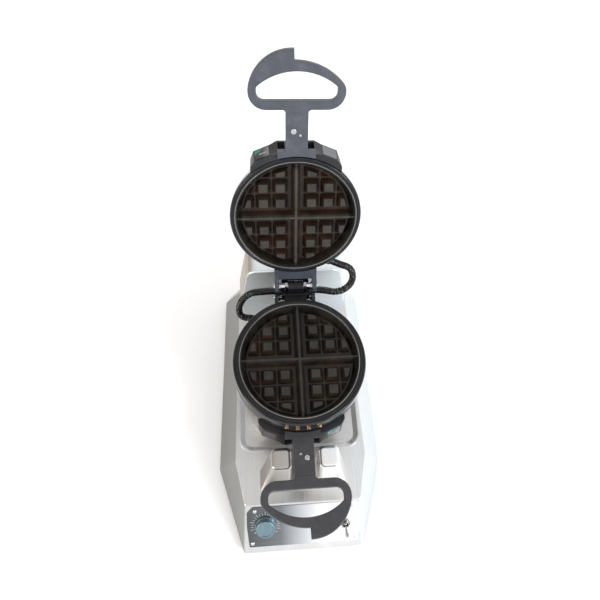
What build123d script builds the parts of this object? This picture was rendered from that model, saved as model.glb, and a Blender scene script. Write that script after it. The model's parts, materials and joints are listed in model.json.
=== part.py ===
from build123d import *
from math import atan2, cos, degrees, pi, radians, sin, tan
import os

os.makedirs("parts", exist_ok=True)

# A countertop double waffle maker. A thick centre plate with a baking face on each side turns on a
# shaft at the rear. A lid is hinged over each face, and both lids are the same part, turned half a
# turn about the shaft's axis. The upper lid stands open.
# Millimetres, +Z up, +Y to the rear, +X to the right. The origin is on the table, at the centre of
# the whole machine's box.

# ---------------------------------------------------------------- driving dimensions
plate_y = -20.02  # centre of the round plates
foot_h = 10.0
base_top = 69.0
axis_z = 177.0  # the shaft that the plates turn on
centre_t = 42.0  # centre plate, face to face
lid_gap = 0.3  # lids stand this far off the centre plate
open_angle = 115.4  # the upper lid, from shut to its stop
hinge_y = 126.0  # hinge pins, behind the plates' centre
hinge_w = -1.5  # hinge pins, measured from a lid's face

plate_r = 91.0  # grid casting
lid_r = 99.5
band_r = 102.0
sheet = 1.4  # stainless sheet

# baking grid
pocket_depth = 15.0
grid_back = 18.0
mouth_r = 90.2  # pocket's wall at the face
floor_r = 82.8  # and at its floor
peg_field_r = 79.8  # pegs are cut off outside this radius
peg_field_top_r = 78.0
peg_pitch = 25.2
peg_first = 23.3
peg_base = 22.4
peg_top = 12.8
peg_h = 11.0
peg_corner = 1.5
ridge_low = 0.8  # ridges stop this far below the face
ridge_base = 13.0
ridge_top = 3.0

# lid
lid_depth = 34.0
rim_h = 9.0
gland_root = (50.0, 87.3, 20.0)  # where the cable conduit enters, in a lid's own plane
gland_turn = 30.0  # the entry's direction, from +X towards the hinge
conduit_r = 6.0

# handle, measured from the plates' centre towards the handle's end
handle_low = -5.6
handle_t = 9.6
stem_half = 15.5
plate_half = 27.0
bar_start = 169.5
loop_half = 65.2
loop_side = 200.0  # the loop's straight side runs from the bar to here
hole_half = 54.0
hole_start = 182.5
hole_side = 200.0
hole_end = 220.3
loop_end = 233.8
fin_end = 248.4
grip_start = 165.2  # the grip stands proud of the stem from here on
grip_step = 0.6
foot_start = 98.0
foot_end = 110.6

# hinge
pin_r = 4.0
running = 0.05  # radial clearance of a running fit
knuckle_r = 9.0
knuckle_half = 12.5
ear_inner = 27.5
ear_outer = 34.0
hub_half = 22.5
hub_start = 114.0
hub_end = 152.0
conduit_y = 128.0
shaft_r = 8.0

# base outline: half widths, and places along Y from the plates' centre
front_y = -251.0
fold_y = -189.0
shoulder_y = -122.0
rear_y = 212.0

# rear tower
tower_front = 157.0
tower_top = 190.0
tower_foot_half = 97.0
tower_half = 80.0
tower_corner = 18.0

# front cradle
cradle_top = 146.0
cradle_slot = 20.5
cradle_x = 2.7
cradle_corner = 8.0

# ---------------------------------------------------------------- planes and helpers
plates = Vector(0, plate_y, 0)
tilt = radians(open_angle)
upper_face = axis_z + centre_t / 2
pin_z = upper_face + lid_gap + hinge_w
arm_y = -hinge_y
arm_w = -hinge_w

# a lid's own plane: origin at its face's centre, +Y to its hinge, +Z into the lid
upper_lid = Plane(
    origin=(
        0,
        plate_y + hinge_y + arm_y * cos(tilt) + arm_w * sin(tilt),
        pin_z - arm_y * sin(tilt) + arm_w * cos(tilt),
    ),
    x_dir=(1, 0, 0),
    z_dir=(0, sin(tilt), cos(tilt)),
)
lower_lid = Plane(
    origin=(0, plate_y, axis_z - centre_t / 2 - lid_gap), x_dir=(-1, 0, 0), z_dir=(0, 0, -1)
)
upper_side = Plane(origin=(0, plate_y, upper_face), x_dir=(-1, 0, 0), z_dir=(0, 0, -1))
lower_side = Plane(origin=(0, plate_y, upper_face - centre_t), x_dir=(1, 0, 0), z_dir=(0, 0, 1))
lids = {"upper": upper_lid, "lower": lower_lid}

# the sloped front panel: origin at its middle, +Y up the slope, +Z out of the panel
panel = Plane(
    origin=(0, plate_y + (front_y + fold_y) / 2, (foot_h + base_top) / 2),
    x_dir=(1, 0, 0),
    z_dir=Vector(0, foot_h - base_top, fold_y - front_y).normalized(),
)
panel_axis = Axis(panel.origin, panel.z_dir)


def finish(piece, label):
    """Label a finished piece and write its own STEP file."""
    piece.label = label
    export_step(piece, f"parts/{label}.step")


def finish_lid(piece, name):
    """Write a lid piece, modelled in a lid's own plane, once for each lid."""
    for lid_name, plane in lids.items():
        finish(piece.moved(plane.location), f"{lid_name}_{name}")


def is_upright(edge):
    """True for an edge that climbs, however much it leans."""
    return abs(edge.tangent_at(0).Z) > 0.3


def mirrored_outline(right_side):
    """A closed outline from its right half, listed from front to rear."""
    return right_side + [(-x, y) for x, y in reversed(right_side)]


def base_outline(z_share):
    """Half the base's outline at a height, 0 at its lower edge and 1 at its top."""
    low = [(95, front_y), (134.5, shoulder_y), (126, 192), (108, rear_y)]
    high = [(91, fold_y), (105.5, shoulder_y + 2), (98, 182), (86, 200)]
    return [
        (a[0] + (b[0] - a[0]) * z_share, a[1] + (b[1] - a[1]) * z_share + plate_y)
        for a, b in zip(low, high)
    ]


# ---------------------------------------------------------------- base
base_steps = ((foot_h, 0.0), (base_top, 1.0))

with BuildPart() as base_housing:
    for z, share in base_steps:
        with BuildSketch(Plane.XY.offset(z)):
            Polygon(*mirrored_outline(base_outline(share)), align=None)
    loft(ruled=True)
    fillet(base_housing.edges().filter_by(is_upright), radius=5)
    fillet(base_housing.faces().sort_by(Axis.Z)[-1].edges(), radius=2)

with BuildPart() as base_hollow:
    for z, share in ((foot_h, 0.0), (base_top - sheet, 1.0)):
        with BuildSketch(Plane.XY.offset(z)):
            Polygon(*mirrored_outline(base_outline(share)), align=None)
            offset(amount=-sheet * 1.3, kind=Kind.INTERSECTION, mode=Mode.REPLACE)
    loft(ruled=True)

tray_x = 99.8
tray_front = -109.0
tray_rear = 55.0
tray_mid = plate_y + (tray_front + tray_rear) / 2
tray_len = tray_rear - tray_front
tray_corner = 24.0
tray_drop = 7.0
tray_lip = 1.2
tray_wall = 1.2
tray_slope = 44.0  # of its walls, from upright
flange = 2.5
knob_x = -60.0
knob_s = 6.5
toggle_x = 66.0
toggle_s = 1.0
knob_shaft_r = 3.0
toggle_bush_r = 5.0

with BuildPart() as base_housing_cut:
    add(base_housing.part)
    add(base_hollow.part, mode=Mode.SUBTRACT)
    with BuildSketch(Plane.XY.offset(base_top + 1)):
        with Locations((0, tray_mid)):
            RectangleRounded(2 * (tray_x - flange), tray_len - 2 * flange, tray_corner - flange)
    extrude(amount=-1 - 2 * sheet, mode=Mode.SUBTRACT)
    with BuildSketch(panel.offset(3)):
        with Locations((knob_x, knob_s)):
            Circle(knob_shaft_r + 1.5)
        with Locations((toggle_x, toggle_s)):
            Circle(toggle_bush_r + 0.1)
    extrude(amount=-10, mode=Mode.SUBTRACT)
finish(base_housing_cut.part, "base_housing")

with BuildPart() as base_bottom_plate:
    with BuildSketch(Plane.XY.offset(foot_h)):
        Polygon(*mirrored_outline(base_outline(0)), align=None)
        offset(amount=-4, kind=Kind.INTERSECTION, mode=Mode.REPLACE)
    extrude(amount=1.5)
finish(base_bottom_plate.part, "base_bottom_plate")

foot_places = [(sx * 92, plate_y + y) for sx in (-1, 1) for y in (-195, 180)]
with BuildPart() as rubber_feet:
    with BuildSketch():
        with Locations(*foot_places):
            Circle(13)
    extrude(amount=foot_h, taper=-6)
    fillet(rubber_feet.faces().group_by(Axis.Z)[0].edges(), radius=1.5)
finish(rubber_feet.part, "rubber_feet")

with BuildPart() as bottom_screws:
    with BuildSketch(Plane.XY.offset(foot_h)):
        with Locations(*[(sx * 60, plate_y + y) for sx in (-1, 1) for y in (-180, 0, 170)]):
            Circle(4)
    extrude(amount=-2)
    fillet(bottom_screws.faces().group_by(Axis.Z)[0].edges(), radius=1)
finish(bottom_screws.part, "bottom_screws")

with BuildPart() as drip_tray:
    with BuildSketch(Plane.XY.offset(base_top)):
        with Locations((0, tray_mid)):
            RectangleRounded(2 * tray_x, tray_len, tray_corner)
    extrude(amount=tray_lip)
    with BuildSketch(Plane.XY.offset(base_top)):
        with Locations((0, tray_mid)):
            rim = flange + running
            RectangleRounded(2 * (tray_x - rim), tray_len - 2 * rim, tray_corner - rim)
    extrude(amount=-tray_drop, taper=tray_slope)
    with BuildSketch(Plane.XY.offset(base_top + tray_lip)):
        with Locations((0, tray_mid)):
            rim = flange + running + tray_wall / 2
            RectangleRounded(2 * (tray_x - rim), tray_len - 2 * rim, tray_corner - rim)
    extrude(amount=-tray_drop, taper=tray_slope, mode=Mode.SUBTRACT)
    fillet(drip_tray.faces().sort_by(Axis.Z)[-1].edges(), radius=0.5)
finish(drip_tray.part, "drip_tray")

# ---------------------------------------------------------------- control panel
trim_t = 1.2
trim_top = 39.5
trim_low = -32.0
with BuildPart() as control_panel:
    with BuildSketch(panel):
        Polygon(
            *mirrored_outline([(86, trim_low), (89, trim_top - 34), (88.5, trim_top - 9), (80, trim_top)]),
            align=None,
        )
        fillet(vertices(), radius=3)
        with Locations((knob_x, knob_s)):
            Circle(knob_shaft_r + 1.5, mode=Mode.SUBTRACT)
        with Locations((toggle_x, toggle_s)):
            Circle(toggle_bush_r + 0.1, mode=Mode.SUBTRACT)
    extrude(amount=trim_t)
finish(control_panel.part, "control_panel")

screw_places = [(sx * x, s) for sx in (-1, 1) for x, s in ((76, 33), (81, -25))]
with BuildPart() as panel_screws:
    with BuildSketch(panel.offset(trim_t)):
        with Locations(*screw_places):
            Circle(3.0)
    extrude(amount=1.6)
    fillet(panel_screws.faces().group_by(panel_axis)[-1].edges(), radius=0.9)
    with BuildSketch(panel.offset(trim_t + 1.7)):
        with Locations(*screw_places):
            Rectangle(3.4, 0.8)
            Rectangle(0.8, 3.4)
    extrude(amount=-0.9, mode=Mode.SUBTRACT)
finish(panel_screws.part, "panel_screws")

knob_r = 15.0
knob_h = 11.0
knob_gap = 0.4  # from the panel's trim
knob_skirt = 2.5
shaft_hold = 7.0  # of the shaft, inside the knob
shaft_drop = 14.0  # of the shaft, below the panel
with BuildPart() as thermostat_knob:
    with BuildSketch(panel.offset(trim_t + knob_gap)):
        with Locations((knob_x, knob_s)):
            Circle(knob_r + 1.5)
    extrude(amount=knob_skirt)
    with BuildSketch(panel.offset(trim_t + knob_gap + knob_skirt)):
        with Locations((knob_x, knob_s)):
            Circle(knob_r)
    extrude(amount=knob_h - knob_skirt, taper=2)
    knob_face = thermostat_knob.faces().sort_by(panel_axis)[-1]
    fillet(knob_face.edges(), radius=1.2)
    with BuildSketch(panel.offset(trim_t + knob_gap + knob_h)):
        with Locations((knob_x, knob_s)):
            Circle(knob_r - 3)
    extrude(amount=-0.8, mode=Mode.SUBTRACT)
    with BuildSketch(panel.offset(trim_t + knob_gap + knob_skirt + 0.5)):
        with Locations((knob_x, knob_s)):
            with PolarLocations(knob_r + 0.2, 36):
                Circle(0.55)
    extrude(amount=knob_h - 2 * knob_skirt, mode=Mode.SUBTRACT)
    with BuildSketch(panel.offset(trim_t + knob_gap)):
        with Locations((knob_x, knob_s)):
            Circle(knob_shaft_r)
    extrude(amount=shaft_hold, mode=Mode.SUBTRACT)
finish(thermostat_knob.part, "thermostat_knob")

with BuildPart() as knob_shaft:
    with BuildSketch(panel.offset(-shaft_drop)):
        with Locations((knob_x, knob_s)):
            Circle(knob_shaft_r)
    extrude(amount=shaft_drop + trim_t + knob_gap + shaft_hold)
finish(knob_shaft.part, "knob_shaft")

with BuildPart() as thermostat_body:
    with BuildSketch(panel.offset(-4)):
        with Locations((knob_x, knob_s)):
            RectangleRounded(34, 28, 3)
    extrude(amount=-22)
    with BuildSketch(panel.offset(-2.4)):
        with Locations((knob_x, knob_s)):
            Circle(8)
    extrude(amount=-1.6)
    with BuildSketch(panel.offset(-2.4)):
        with Locations((knob_x, knob_s)):
            Circle(knob_shaft_r + running)
    extrude(amount=-12, mode=Mode.SUBTRACT)
finish(thermostat_body.part, "thermostat_body")

ball_r = 3.3
lever_r = 2.9
lever_len = 25.0
neck_r = 1.5
neck_w = (ball_r**2 - neck_r**2) ** 0.5
toggle_pivot = 3.0  # the lever turns this far outside the panel
with BuildPart() as toggle_switch:
    with BuildSketch(panel.offset(-4)):
        with Locations((toggle_x, toggle_s)):
            RectangleRounded(14, 26, 2)
    extrude(amount=-18)
    with BuildSketch(panel.offset(-4)):
        with Locations((toggle_x, toggle_s)):
            Circle(toggle_bush_r)
    extrude(amount=10.5)
    with BuildSketch(panel.offset(trim_t)):
        with Locations((toggle_x, toggle_s)):
            RegularPolygon(8, 6)
    extrude(amount=2.4)
    toggle_ball_plane = panel.offset(toggle_pivot)
    with Locations(toggle_ball_plane.from_local_coords((toggle_x, toggle_s, 0))):
        Sphere(ball_r + 0.3, mode=Mode.SUBTRACT)
    with BuildSketch(panel.offset(toggle_pivot)):
        with Locations((toggle_x, toggle_s)):
            Circle(ball_r + 0.1)
    extrude(amount=8, taper=-12, mode=Mode.SUBTRACT)
finish(toggle_switch.part, "toggle_switch")

toggle_tilt = 12.0
toggle_centre = panel.from_local_coords((toggle_x, toggle_s, toggle_pivot))
toggle_plane = Plane(origin=toggle_centre, x_dir=(1, 0, 0), z_dir=panel.z_dir).rotated((toggle_tilt, 0, 0))
with BuildPart() as toggle_lever:
    with BuildSketch(Plane(origin=toggle_plane.origin, x_dir=toggle_plane.x_dir, z_dir=-toggle_plane.y_dir)):
        with BuildLine():
            Line((0, -ball_r), (0, lever_len))
            RadiusArc((0, lever_len), (lever_r, lever_len - lever_r), lever_r)
            Line((lever_r, lever_len - lever_r), (neck_r, neck_w))
            ThreePointArc((neck_r, neck_w), (ball_r, 0), (0, -ball_r))
        make_face()
    revolve(axis=Axis(toggle_plane.origin, toggle_plane.z_dir))
finish(toggle_lever.part, "toggle_lever")

# ---------------------------------------------------------------- front cradle
cradle_low = (69.0, -172.0, -132.0)  # half width, front and rear, on the base
cradle_high = (50.5, -152.0, -119.0)  # the same, at the shoulders' tops
slot_floor = 96.0


def cradle_block(inset):
    """The cradle's outer block, or its hollow when the walls are inset."""
    with BuildPart() as block:
        for z, (half, front, rear) in ((base_top, cradle_low), (cradle_top - inset, cradle_high)):
            with BuildSketch(Plane.XY.offset(z)):
                with Locations((cradle_x, plate_y + (front + rear) / 2)):
                    Rectangle(2 * (half - inset), rear - front - 2 * inset)
        loft(ruled=True)
        with BuildSketch(Plane.XY.offset(cradle_top + 1)):
            with Locations((cradle_x, plate_y - 145)):
                Rectangle(2 * (cradle_slot + inset), 80)
        extrude(amount=-(cradle_top + 1 - slot_floor + inset), mode=Mode.SUBTRACT)
        fillet(block.edges().filter_by(is_upright), radius=cradle_corner - inset)
        tops = block.faces().filter_by(lambda f: f.center().Z > cradle_top - inset - 1)
        fillet(tops.edges(), radius=cradle_corner - 2 - inset)
    return block.part


with BuildPart() as front_cradle:
    add(cradle_block(0))
    add(cradle_block(sheet), mode=Mode.SUBTRACT)
finish(front_cradle.part, "front_cradle")

# ---------------------------------------------------------------- rear tower
def tower_profile(inset):
    """Half of the tower as seen from the front."""
    return [
        (-tower_foot_half + inset, base_top),
        (tower_foot_half - inset, base_top),
        (tower_half - inset, tower_top - inset),
        (-tower_half + inset, tower_top - inset),
    ]


bush_r = 10.5
with BuildPart() as rear_tower:
    with BuildSketch(Plane.XZ.offset(-(plate_y + tower_front))):
        Polygon(*tower_profile(0), align=None)
        fillet(vertices().group_by(Axis.Y)[-1], radius=tower_corner)
    extrude(amount=-(rear_y - 2 - tower_front))
    front_face = rear_tower.faces().sort_by(Axis.Y)[0]
    fillet(front_face.edges().filter_by(lambda e: e.center().Z > base_top + 5), radius=3)
    with BuildSketch(Plane.XZ.offset(-(plate_y + tower_front + sheet))):
        Polygon(*tower_profile(sheet), align=None)
        fillet(vertices().group_by(Axis.Y)[-1], radius=tower_corner - sheet)
    extrude(amount=-80, mode=Mode.SUBTRACT)
    with BuildSketch(Plane.XZ.offset(-(plate_y + tower_front - 1))):
        with Locations((0, axis_z)):
            Circle(bush_r)
    extrude(amount=-5, mode=Mode.SUBTRACT)
finish(rear_tower.part, "rear_tower")

gland_x = 62.0
gland_z = 95.0
gland_bore = 4.0
gland_hole = 8.0
with BuildPart() as tower_rear_cover:
    with BuildSketch(Plane.XZ.offset(-(plate_y + rear_y - 2 - 4))):
        Polygon(*tower_profile(sheet + 0.4), align=None)
        fillet(vertices().group_by(Axis.Y)[-1], radius=tower_corner - sheet)
        with Locations((gland_x, gland_z)):
            Circle(gland_hole, mode=Mode.SUBTRACT)
        with Locations((0, 110)):
            with GridLocations(0, 9, 1, 5):
                SlotOverall(70, 3.5, mode=Mode.SUBTRACT)
    extrude(amount=-2)
finish(tower_rear_cover.part, "tower_rear_cover")

with BuildPart() as cord_gland:
    with BuildSketch(Plane.XZ.offset(-(plate_y + rear_y - 10))):
        with Locations((gland_x, gland_z)):
            Circle(gland_hole)
    extrude(amount=-16)
    with BuildSketch(Plane.XZ.offset(-(plate_y + rear_y - 4))):
        with Locations((gland_x, gland_z)):
            RegularPolygon(11, 6)
    extrude(amount=-4)
    with BuildSketch(Plane.XZ.offset(-(plate_y + rear_y - 10))):
        with Locations((gland_x, gland_z)):
            Circle(gland_bore)
    extrude(amount=-20, mode=Mode.SUBTRACT)
finish(cord_gland.part, "cord_gland")

block_y = 180.0
block_t = 18.0
with BuildPart() as bearing_block:
    with BuildSketch(Plane.XZ.offset(-(plate_y + block_y))):
        with BuildLine():
            Polyline((-34, base_top), (34, base_top), (34, base_top + 8), (12, axis_z))
            CenterArc((0, axis_z - 1), 12, 0, 180)
            Polyline((-12, axis_z), (-34, base_top + 8), (-34, base_top))
        make_hull()
        with Locations((0, axis_z)):
            Circle(shaft_r + running, mode=Mode.SUBTRACT)
    extrude(amount=-block_t)
finish(bearing_block.part, "bearing_block")

with BuildPart() as shaft_bush:
    with BuildSketch(Plane.XZ.offset(-(plate_y + tower_front - 2.5))):
        with Locations((0, axis_z)):
            Circle(12.4)
    extrude(amount=-2.5)
    with BuildSketch(Plane.XZ.offset(-(plate_y + tower_front))):
        with Locations((0, axis_z)):
            Circle(bush_r)
    extrude(amount=-14)
    with BuildSketch(Plane.XZ.offset(-(plate_y + tower_front - 5))):
        with Locations((0, axis_z)):
            Circle(shaft_r + running)
    extrude(amount=-25, mode=Mode.SUBTRACT)
finish(shaft_bush.part, "shaft_bush")

with BuildPart() as terminal_block:
    with BuildSketch(Plane.XY.offset(foot_h + 1.5)):
        with Locations((gland_x - 8, plate_y + 150)):
            Rectangle(44, 22)
    extrude(amount=18)
    with BuildSketch(Plane.XY.offset(foot_h + 20)):
        with Locations((gland_x - 8, plate_y + 150)):
            with GridLocations(12, 0, 3, 1):
                Circle(3)
    extrude(amount=-8, mode=Mode.SUBTRACT)
finish(terminal_block.part, "terminal_block")

# ---------------------------------------------------------------- rotor: hub, shaft, centre plate
with BuildPart() as rotor_hub:
    with BuildSketch(Plane.YZ.offset(-hub_half)):
        with Locations((plate_y + (hub_start + hub_end) / 2, axis_z)):
            Rectangle(hub_end - hub_start, 18)
    extrude(amount=2 * hub_half)
    fillet(rotor_hub.edges().filter_by(Axis.X), radius=2)
    with BuildSketch(Plane.YZ.offset(-knuckle_half)):
        for z in (pin_z, 2 * axis_z - pin_z):
            with Locations((plate_y + hinge_y, z)):
                Circle(knuckle_r)
        with Locations((plate_y + hinge_y, axis_z)):
            Rectangle(2 * knuckle_r, 2 * (pin_z - axis_z))
        for z in (pin_z, 2 * axis_z - pin_z):
            with Locations((plate_y + hinge_y, z)):
                Circle(pin_r + running, mode=Mode.SUBTRACT)
    extrude(amount=2 * knuckle_half)
    with BuildSketch(Plane.XZ.offset(-(plate_y + 98))):
        with Locations((0, axis_z)):
            Rectangle(36, 14)
    extrude(amount=-20)
    with BuildSketch(Plane.XY.offset(axis_z - 30)):
        with Locations((0, plate_y)):
            Circle(band_r)
    extrude(amount=60, mode=Mode.SUBTRACT)
finish(rotor_hub.part, "rotor_hub")

with BuildPart() as rotor_shaft:
    with BuildSketch(Plane.XZ.offset(-(plate_y + hub_end))):
        with Locations((0, axis_z)):
            Circle(shaft_r)
    extrude(amount=-(block_y + block_t + 6 - hub_end))
finish(rotor_shaft.part, "rotor_shaft")

with BuildPart() as shaft_collar:
    with BuildSketch(Plane.XZ.offset(-(plate_y + block_y - 8.5))):
        with Locations((0, axis_z)):
            Circle(11.5)
            Circle(shaft_r, mode=Mode.SUBTRACT)
    extrude(amount=-8)
finish(shaft_collar.part, "shaft_collar")

band_screw_x = (-24, -8, 8, 24)
with BuildPart() as band_screws:
    for x in band_screw_x:
        reach = (band_r**2 - x**2) ** 0.5
        with BuildSketch(Plane.XZ.offset(reach - plate_y)):
            with Locations((x, axis_z + 6)):
                Circle(3.2)
        extrude(amount=3)
        with BuildSketch(Plane.XZ.offset(reach - plate_y - 4)):
            with Locations((x, axis_z + 6)):
                Circle(2)
        extrude(amount=5)
finish(band_screws.part, "band_screws")

with BuildPart() as centre_band:
    with BuildSketch(Plane.XZ.offset(-plate_y)):
        with Locations((0, axis_z)):
            Polygon(
                (plate_r, -centre_t / 2),
                (band_r - 2, -centre_t / 2),
                (band_r, -centre_t / 2 + 2),
                (band_r, centre_t / 2 - 2),
                (band_r - 2, centre_t / 2),
                (plate_r, centre_t / 2),
                align=None,
            )
    revolve(axis=Axis(plates, (0, 0, 1)))
    add(band_screws.part, mode=Mode.SUBTRACT)
finish(centre_band.part, "centre_band")

# ---------------------------------------------------------------- baking grid
# modelled with its face on the XY plane, opening downwards, +Z into the plate
peg_places = [peg_first + i * peg_pitch for i in range(3)]
peg_taper = degrees(atan2((peg_base - peg_top) / 2, peg_h))
field_taper = degrees(atan2(peg_field_r - peg_field_top_r, peg_h))
wall_taper = degrees(atan2(mouth_r - floor_r, pocket_depth))
ridge_reach = plate_r - 1
with BuildPart() as pegs:
    with BuildSketch(Plane.XY.offset(pocket_depth)):
        for sx in (-1, 1):
            for sy in (-1, 1):
                with Locations(*[(sx * x, sy * y) for x in peg_places for y in peg_places]):
                    RectangleRounded(peg_base, peg_base, peg_corner)
    extrude(amount=-peg_h, taper=peg_taper)
    with BuildSketch(Plane.XY.offset(pocket_depth)):
        Circle(peg_field_r)
    extrude(amount=-pocket_depth, taper=field_taper, mode=Mode.INTERSECT)

with BuildPart() as grid_plate:
    with BuildSketch(Plane.XY.offset(grid_back)):
        Circle(plate_r)
    extrude(amount=-grid_back)
    with BuildSketch(Plane.XY.offset(pocket_depth)):
        Circle(floor_r)
    extrude(amount=-pocket_depth, taper=-wall_taper, mode=Mode.SUBTRACT)
    add(pegs.part)
    for ridge_plane in (Plane.XZ.offset(-ridge_reach), Plane.YZ.offset(-ridge_reach)):
        with BuildSketch(ridge_plane):
            Polygon(
                (-ridge_base / 2, pocket_depth),
                (-ridge_top / 2, ridge_low),
                (ridge_top / 2, ridge_low),
                (ridge_base / 2, pocket_depth),
                align=None,
            )
        extrude(amount=2 * ridge_reach)
grid = grid_plate.part
finish(grid.moved(upper_side.location), "centre_grid_upper")
finish(grid.moved(lower_side.location), "centre_grid_lower")
finish_lid(grid, "lid_grid")

element_r = 2.7
with BuildPart() as centre_element:
    with BuildSketch(Plane.XZ):
        with Locations((58, 0)):
            Circle(element_r)
    revolve(axis=Axis.Z, revolution_arc=330)
finish(centre_element.part.moved(Location(plates + Vector(0, 0, axis_z))), "centre_element")

# ---------------------------------------------------------------- lid pieces, in a lid's own plane
with BuildPart() as lid_rim:
    with BuildSketch(Plane.XZ):
        Polygon(
            (plate_r, 0),
            (lid_r - 2, 0),
            (lid_r, 2),
            (lid_r, rim_h),
            (plate_r, rim_h),
            align=None,
        )
    revolve(axis=Axis.Z)
finish_lid(lid_rim.part, "lid_rim")

gland_dir = Vector(cos(radians(gland_turn)), sin(radians(gland_turn)), 0)
gland_plane = Plane(origin=gland_root, x_dir=(0, 0, 1), z_dir=gland_dir)
gland_r = 9.5
gland_neck = 4.6
gland_out = 9.0
gland_lead = 13.8
with BuildPart() as lid_dome:
    with BuildSketch(Plane.XZ):
        Polygon(
            (0, lid_depth),
            (91, lid_depth),
            (97, lid_depth - 9),
            (98.5, rim_h),
            (0, rim_h),
            align=None,
        )
        fillet(vertices().filter_by(lambda v: v.X > 90 and v.Y > rim_h + 1), radius=4)
    revolve(axis=Axis.Z)

with BuildPart() as lid_shell:
    add(lid_dome.part)
    with BuildSketch(Plane.XZ):
        Polygon(
            (0, lid_depth - sheet),
            (90.5, lid_depth - sheet),
            (95.7, lid_depth - 9),
            (97.1, rim_h),
            (0, rim_h),
            align=None,
        )
    revolve(axis=Axis.Z, mode=Mode.SUBTRACT)
    with BuildSketch(gland_plane.offset(2)):
        Circle(gland_neck + 0.1)
    extrude(amount=-14, mode=Mode.SUBTRACT)
finish_lid(lid_shell.part, "lid_shell")

with BuildPart() as lid_element:
    with BuildSketch(Plane.XZ):
        with Locations((58, grid_back + 3.6)):
            Circle(3.4)
    revolve(axis=Axis.Z, revolution_arc=330)
finish_lid(lid_element.part, "lid_element")

with BuildPart() as lid_gland:
    with BuildSketch(gland_plane.offset(-2 * gland_r)):
        Circle(gland_r)
    extrude(amount=2 * gland_r + 3)
    with BuildSketch(gland_plane.offset(3)):
        Circle(gland_r - 1.5)
    extrude(amount=gland_out - 3, taper=4)
    add(lid_dome.part, mode=Mode.SUBTRACT)
    with BuildSketch(gland_plane):
        Circle(gland_neck)
    extrude(amount=-8)
finish_lid(lid_gland.part, "lid_gland")

# front bracket: wraps the lid's front and carries the handle. Its faces lean outwards into the lid
bracket_inner = lid_r + 0.7
bracket_low = 0.5
bracket_high = 31.5
facet_in = (36.0, -102.5)
facet_run = Vector(24, 10, 0)
facet_lean = Vector(1.2, -3.5, bracket_high - bracket_low)
bracket_front = -112.5
recess_floor = 28.5


def bracket_outline(lean, mid_y):
    """Right half of the bracket's outline, front to rear, moved out by its lean."""
    start = Vector(*facet_in) + Vector(lean.X, lean.Y)
    end = start + facet_run
    return [(plate_half, mid_y), (start.X, start.Y), (end.X, end.Y), (66, -84), (66, -72)]


with BuildPart() as lid_bracket:
    for w, lean, mid_y in (
        (bracket_low, Vector(0, 0, 0), -104.0),
        (bracket_high, facet_lean, bracket_front + 0.5),
    ):
        with BuildSketch(Plane.XY.offset(w)):
            Polygon(*mirrored_outline(bracket_outline(lean, mid_y)), align=None)
    loft(ruled=True)
    with BuildSketch(Plane.XY):
        Circle(bracket_inner)
    extrude(amount=50, mode=Mode.SUBTRACT)
    with BuildSketch(Plane.XY):
        with Locations((0, bracket_front - 10)):
            Rectangle(2 * plate_half + 0.4, 20)
    extrude(amount=50, mode=Mode.SUBTRACT)
    with BuildSketch(Plane.XY):
        with Locations((0, -104)):
            Rectangle(2 * plate_half + 0.4, 30)
    extrude(amount=handle_low + handle_t + 0.1, mode=Mode.SUBTRACT)
    with BuildSketch(Plane.XY):
        for side in (-1, 1):
            with Locations((side * (stem_half + plate_half) / 2, bracket_front - 1)):
                Rectangle(plate_half - stem_half - 1, 2 * (-bracket_inner - 2 - bracket_front))
    extrude(amount=recess_floor, mode=Mode.SUBTRACT)
finish_lid(lid_bracket.part, "lid_bracket")


def facet_plane(side):
    """The bracket's sloped facet on one side, +Z out of it."""
    corner = Vector(side * facet_in[0], facet_in[1], bracket_low)
    along = Vector(side * facet_run.X, facet_run.Y, 0)
    lean = Vector(side * facet_lean.X, facet_lean.Y, facet_lean.Z)
    normal = along.cross(lean) * side
    return Plane(origin=corner + (along + lean) * 0.5, x_dir=along * side, z_dir=normal)


with BuildPart() as lid_label_plate:
    with BuildSketch(facet_plane(-1)):
        RectangleRounded(22, 24, 1.5)
    extrude(amount=0.8)
finish_lid(lid_label_plate.part, "lid_label_plate")

with BuildPart() as lid_side_plate:
    with BuildSketch(facet_plane(1)):
        RectangleRounded(22, 24, 1.5)
    extrude(amount=0.8)
finish_lid(lid_side_plate.part, "lid_side_plate")

rivets = (((-4.5, -140.0), 3.5), ((4.8, -134.3), 1.4))  # places in the stem, and shank radii
rivet_lip = 0.7

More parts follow.
